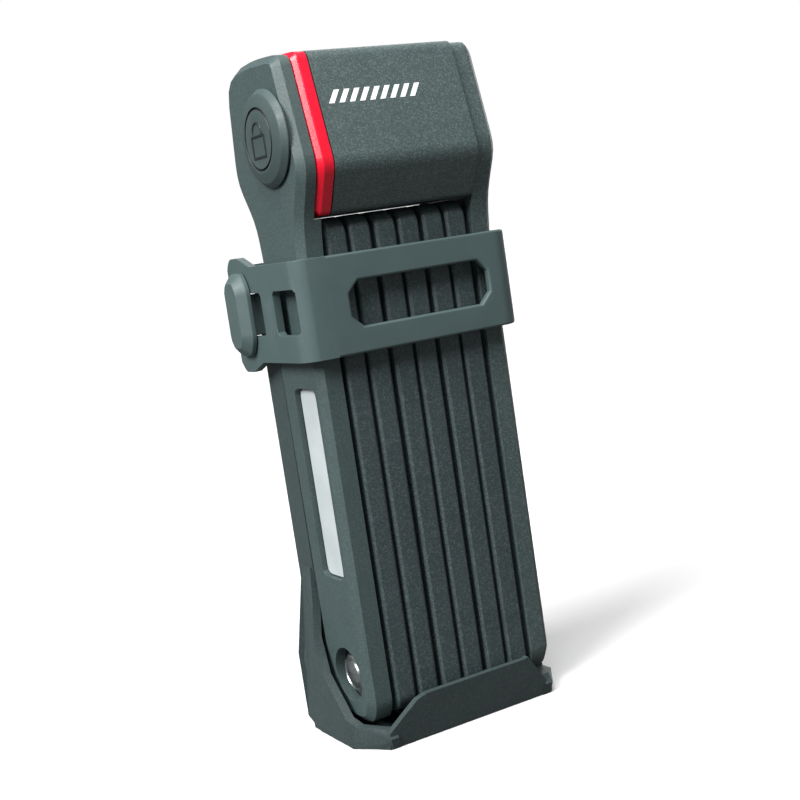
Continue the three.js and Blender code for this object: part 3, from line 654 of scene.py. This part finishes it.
class StrapRoute:
    """Outer face of the strap, followed from its anchor on the right to its free end."""

    def __init__(self):
        self.right = SIDE_HIGH.x
        self.left = TAIL_LOW.x
        self.front = STRAP_LOW.y
        self.back = SIDE_HIGH.y
        self.end = TAIL_HIGH.y
        quarter = math.pi / 2 * CORNER
        self.side = self.back - self.front - CORNER
        self.bend = quarter
        self.face = self.right - self.left - 2 * CORNER
        self.tail = self.end - self.front - CORNER
        self.length = self.side + self.face + self.tail + 2 * quarter

    def along_face(self, x):
        """Distance along the strap of a point x on the front face."""
        return self.side + self.bend + (self.right - CORNER - x)

    def along_tail(self, y):
        return self.side + 2 * self.bend + self.face + (y - self.front - CORNER)

    def point(self, distance, height, depth):
        """Place of a point at this distance, height, and depth under the outer face."""
        if distance < self.side:
            return Vector((self.right - depth, self.back - distance, height))
        distance -= self.side
        if distance < self.bend:
            angle = distance / CORNER
            reach = CORNER - depth
            return Vector((self.right - CORNER + reach * math.cos(angle),
                           self.front + CORNER - reach * math.sin(angle), height))
        distance -= self.bend
        if distance < self.face:
            return Vector((self.right - CORNER - distance, self.front + depth, height))
        distance -= self.face
        if distance < self.bend:
            angle = distance / CORNER
            reach = CORNER - depth
            return Vector((self.left + CORNER - reach * math.sin(angle),
                           self.front + CORNER - reach * math.cos(angle), height))
        distance -= self.bend
        return Vector((self.left + depth, self.front + CORNER + distance, height))


ROUTE = StrapRoute()


def bisect_at(point, normal):
    bpy.ops.mesh.select_all(action="SELECT")
    bpy.ops.mesh.bisect(plane_co=point, plane_no=normal)


def flat_band(name, start, end, windows, outline_test=None):
    """A flat rubber band with chamfered windows, lying in length (X) and height (Y)."""
    low, high = STRAP_LOW.z - BAND_MARGIN, STRAP_HIGH.z + BAND_MARGIN
    deselect_all()
    bpy.ops.mesh.primitive_plane_add(size=1, location=((start + end) / 2, (low + high) / 2, 0))
    band = bpy.context.view_layer.objects.active
    band.name = name
    band.scale = (end - start, high - low, 1)
    apply_place(band)
    edit(band)
    for height in (STRAP_LOW.z, STRAP_HIGH.z):
        bisect_at((0, height, 0), (0, 1, 0))
    for u0, u1, v0, v1, cut in windows:
        for u in (u0, u1):
            bisect_at((u, 0, 0), (1, 0, 0))
        for v in (v0, v1):
            bisect_at((0, v, 0), (0, 1, 0))
        corners = ((u0, v0, 1, 1), (u1, v0, -1, 1), (u0, v1, 1, -1), (u1, v1, -1, -1))
        for u, v, side_u, side_v in corners:
            bisect_at((u + side_u * cut, v, 0), (side_u, side_v, 0))
    for u in bend_cuts(start, end):
        bisect_at((u, 0, 0), (1, 0, 0))
    if outline_test:
        for point, normal in outline_test["cuts"]:
            bisect_at(point, normal)
    leave_edit()

    def surplus(centre, normal):
        if outline_test:
            if outline_test["outside"](centre):
                return True
        elif not STRAP_LOW.z < centre.y < STRAP_HIGH.z:
            return True
        for u0, u1, v0, v1, cut in windows:
            du = min(centre.x - u0, u1 - centre.x)
            dv = min(centre.y - v0, v1 - centre.y)
            if du > 0 and dv > 0 and du + dv > cut:
                return True
        return False

    select_faces(band, surplus)
    bpy.ops.mesh.delete(type="FACE")
    leave_edit()
    return band


def bend_cuts(start, end):
    """Extra lines across the band, close together where it goes round a corner."""
    cuts = []
    distance = 0.0
    while distance < ROUTE.length:
        in_first = ROUTE.side - MM < distance < ROUTE.side + ROUTE.bend + MM
        second = ROUTE.side + ROUTE.bend + ROUTE.face
        in_second = second - MM < distance < second + ROUTE.bend + MM
        if start < distance < end:
            cuts.append(distance)
        distance += (BEND_STEP if in_first or in_second else PLAIN_STEP) * MM
    return cuts


def wrap_band(band, split, keep_before):
    """Thickens the flat band, softens its rims, trims it flush, and lays it round the stack."""
    make_active(band)
    modifier = band.modifiers.new("thickness", "SOLIDIFY")
    modifier.thickness = STRAP_THICK
    modifier.offset = -1.0
    bpy.ops.object.modifier_apply(modifier=modifier.name)
    soften_edges(band, SOFT_RIM, 4, 60.0)
    edit(band)
    bpy.ops.mesh.bisect(plane_co=(split, 0, 0), plane_no=(1, 0, 0), use_fill=True,
                        clear_outer=keep_before, clear_inner=not keep_before)
    leave_edit()
    top = max(vertex.co.z for vertex in band.data.vertices)
    for vertex in band.data.vertices:
        depth = top - vertex.co.z
        vertex.co = ROUTE.point(vertex.co.x, vertex.co.y, depth)
    edit(band)
    bpy.ops.mesh.normals_make_consistent(inside=False)
    leave_edit()
    smooth(band, 40.0)


def strap():
    split = ROUTE.along_face(SPLIT_X)
    mid = (STRAP_LOW.z + STRAP_HIGH.z) / 2
    window = (ROUTE.along_face(22.9 * MM), ROUTE.along_face(-18.9 * MM),
              mid - 6 * MM, mid + 5.6 * MM, 3.0 * MM)
    front = flat_band("strap_front_band", 0.0, split + SPARE, [window])
    wrap_band(front, split, True)
    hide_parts("strap_side", "strap_front")
    dress(front, STRAP_RUBBER, None, "strap_rubber")
    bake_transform(front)

    flare = ROUTE.along_tail(FLARE_START)
    end = ROUTE.length
    top, bottom = STRAP_HIGH.z, STRAP_LOW.z

    def lobe(u):
        ramp = min(max((u - flare) / FLARE_LENGTH, 0), 1)
        tail_off = min(max((u - (end - TIP_LENGTH)) / TIP_LENGTH, 0), 1)
        return FLARE_GROWTH * ramp - TIP_CUT * tail_off * tail_off

    cuts = [((flare + FLARE_LENGTH * i / 6, 0, 0), (1, 0, 0)) for i in range(7)]
    cuts += [((end - TIP_LENGTH * i / 5, 0, 0), (1, 0, 0)) for i in range(1, 6)]
    shape = {"cuts": cuts, "outside": lambda c: not bottom < c.y < top}
    small = (ROUTE.along_tail(-39.3 * MM), ROUTE.along_tail(-27 * MM),
             mid - 5.7 * MM, mid + 5.7 * MM, 0.9 * MM)
    slot = (ROUTE.along_tail(-19.6 * MM), ROUTE.along_tail(-6.3 * MM),
            mid - 5.7 * MM, mid + 5.7 * MM, 0.9 * MM)
    tail = flat_band("strap_tail_band", split - SPARE, end, [small, slot], shape)
    for vertex in tail.data.vertices:
        if vertex.co.y > top - 0.1 * MM:
            vertex.co.y += lobe(vertex.co.x)
        if vertex.co.y < bottom + 0.1 * MM:
            vertex.co.y -= lobe(vertex.co.x)
    wrap_band(tail, split, False)
    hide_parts("strap_tail")
    dress(tail, STRAP_RUBBER, None, "strap_rubber")
    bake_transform(tail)


# ---------------------------------------------------------------- holder

def holder():
    softened("holder_frame", "holder_body", HOLDER_PLASTIC, "holder", "holder_plastic", 0.5)
    softened("strap_hook", "strap_hook_plate", HOOK_PLASTIC, "holder", "holder_plastic", 0.45)
    for pad in ("pad_upper", "pad_lower"):
        softened(pad, f"soft_{pad}", PAD_RUBBER, "holder", "pad_rubber", 0.8)
    stud_low, stud_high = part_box("strap_anchor_stud")
    inner, outer = stud_low.x / MM, stud_high.x / MM
    steps = [(inner, 2.2), (inner + 1.6, 2.7), (inner + 1.6, 1.9), (outer - 1.6, 1.9),
             (outer - 1.6, 5.8), (outer - 1.4, 6.0), (outer - 0.7, 6.0), (outer - 0.2, 5.2),
             (outer, 4.4), (outer, 2.6), (outer - 0.4, 2.4), (outer - 0.4, 1.0)]
    stud = turned_along_x("strap_button", steps, (stud_low.y + stud_high.y) / 2,
                          (stud_low.z + stud_high.z) / 2, 48)
    smooth(stud, 35.0)
    dress(stud, HOLDER_PLASTIC, "holder", "holder_plastic", "strap_anchor_stud")


INNER_FINISHES = {
    "arm_left_core": PLATE_STEEL, "arm_right_core": PLATE_STEEL, "lock_body": LOCK_STEEL,
    "head_screw_1": BRIGHT_STEEL, "head_screw_2": BRIGHT_STEEL, "cover_pin": BRIGHT_STEEL,
    "bolt_spring": BRIGHT_STEEL, "locking_bolt": LOCK_STEEL, "striker_bush": LOCK_STEEL,
    "key_plug": BRASS, "cam_driver": LOCK_STEEL, "mount_screw_upper": BRIGHT_STEEL,
    "mount_screw_lower": BRIGHT_STEEL,
}


def inner_pieces():
    """The nodes that keep their own shape get their finish here."""
    finishes = dict(INNER_FINISHES)
    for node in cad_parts:
        if node.startswith("bar_") and node.endswith("_core"):
            finishes[node] = PLATE_STEEL
        if node.startswith(("washer_", "detainer_disc_")):
            finishes[node] = BRASS
    for node, material in finishes.items():
        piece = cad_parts[node]
        piece.data.materials.clear()
        piece.data.materials.append(material)


# ---------------------------------------------------------------- studio

def floor():
    deselect_all()
    bpy.ops.mesh.primitive_plane_add(
        size=FLOOR_SIZE, location=(0, 0, CAD_BOX[0][2] - FLOOR_DROP))
    piece = bpy.context.view_layer.objects.active
    piece.name = "studio_floor"
    apply_place(piece)
    material, tree, shader = start_material("pale_floor")
    seen = tree.nodes.new("ShaderNodeLightPath").outputs["Is Camera Ray"]
    colour = mix_colour(tree, seen, FLOOR_BOUNCE, FLOOR_SEEN)
    tree.links.new(colour, shader.inputs["Base Color"])
    shader.inputs["Roughness"].default_value = 1.0
    shader.inputs["Specular IOR Level"].default_value = 0.0
    piece.data.materials.append(material)


def studio():
    world = bpy.data.worlds.new("studio")
    bpy.context.scene.world = world
    world.use_nodes = True
    tree = world.node_tree
    sky = tree.nodes["Background"]
    sky.inputs["Color"].default_value = (1, 1, 1, 1)
    seen = tree.nodes.new("ShaderNodeLightPath").outputs["Is Camera Ray"]
    tree.links.new(spread(tree, seen, 0.0, 1.0, SKY_LIGHT, SKY_SEEN), sky.inputs["Strength"])
    deselect_all()
    bpy.ops.object.light_add(type="SUN", rotation=SUN_FROM.to_track_quat("Z", "Y").to_euler())
    sun = bpy.context.view_layer.objects.active
    sun.name = "studio_key_light"
    sun.data.energy = SUN_POWER
    sun.data.angle = math.radians(SUN_SPREAD)
    bpy.ops.object.light_add(type="AREA", location=OVERHEAD_PLACE,
                             rotation=OVERHEAD_PLACE.to_track_quat("Z", "Y").to_euler())
    overhead = bpy.context.view_layer.objects.active
    overhead.name = "overhead_softbox"
    overhead.data.size = OVERHEAD_SIZE
    overhead.data.energy = OVERHEAD_POWER
    deselect_all()
    bpy.ops.object.light_add(type="SUN", rotation=FILL_FROM.to_track_quat("Z", "Y").to_euler())
    fill = bpy.context.view_layer.objects.active
    fill.name = "rear_fill_light"
    fill.data.energy = FILL_POWER
    fill.data.angle = math.radians(FILL_SPREAD)
    bpy.context.scene.view_settings.view_transform = "Standard"


def camera():
    azimuth, drop, roll = (math.radians(a) for a in (CAMERA_AZIMUTH, CAMERA_DROP, CAMERA_ROLL))
    forward = Vector((math.sin(azimuth) * math.cos(drop), math.cos(azimuth) * math.cos(drop),
                      -math.sin(drop)))
    level = forward.cross(Vector((0, 0, 1))).normalized()
    raised = level.cross(forward)
    right = math.cos(roll) * level + math.sin(roll) * raised
    up = math.cos(roll) * raised - math.sin(roll) * level
    turn = Matrix((right, up, -forward)).transposed()
    deselect_all()
    bpy.ops.object.camera_add(location=CAMERA_PLACE, rotation=turn.to_euler())
    eye = bpy.context.view_layer.objects.active
    eye.name = "studio_camera"
    eye.data.sensor_width = CAMERA_SENSOR
    eye.data.lens = CAMERA_LENS
    bpy.context.scene.camera = eye


outer_arms()
lock_head()
inner_bars()
reflector()
rivets()
key_cover()
printed_hatch()
strap()
holder()
inner_pieces()
floor()
studio()
camera()
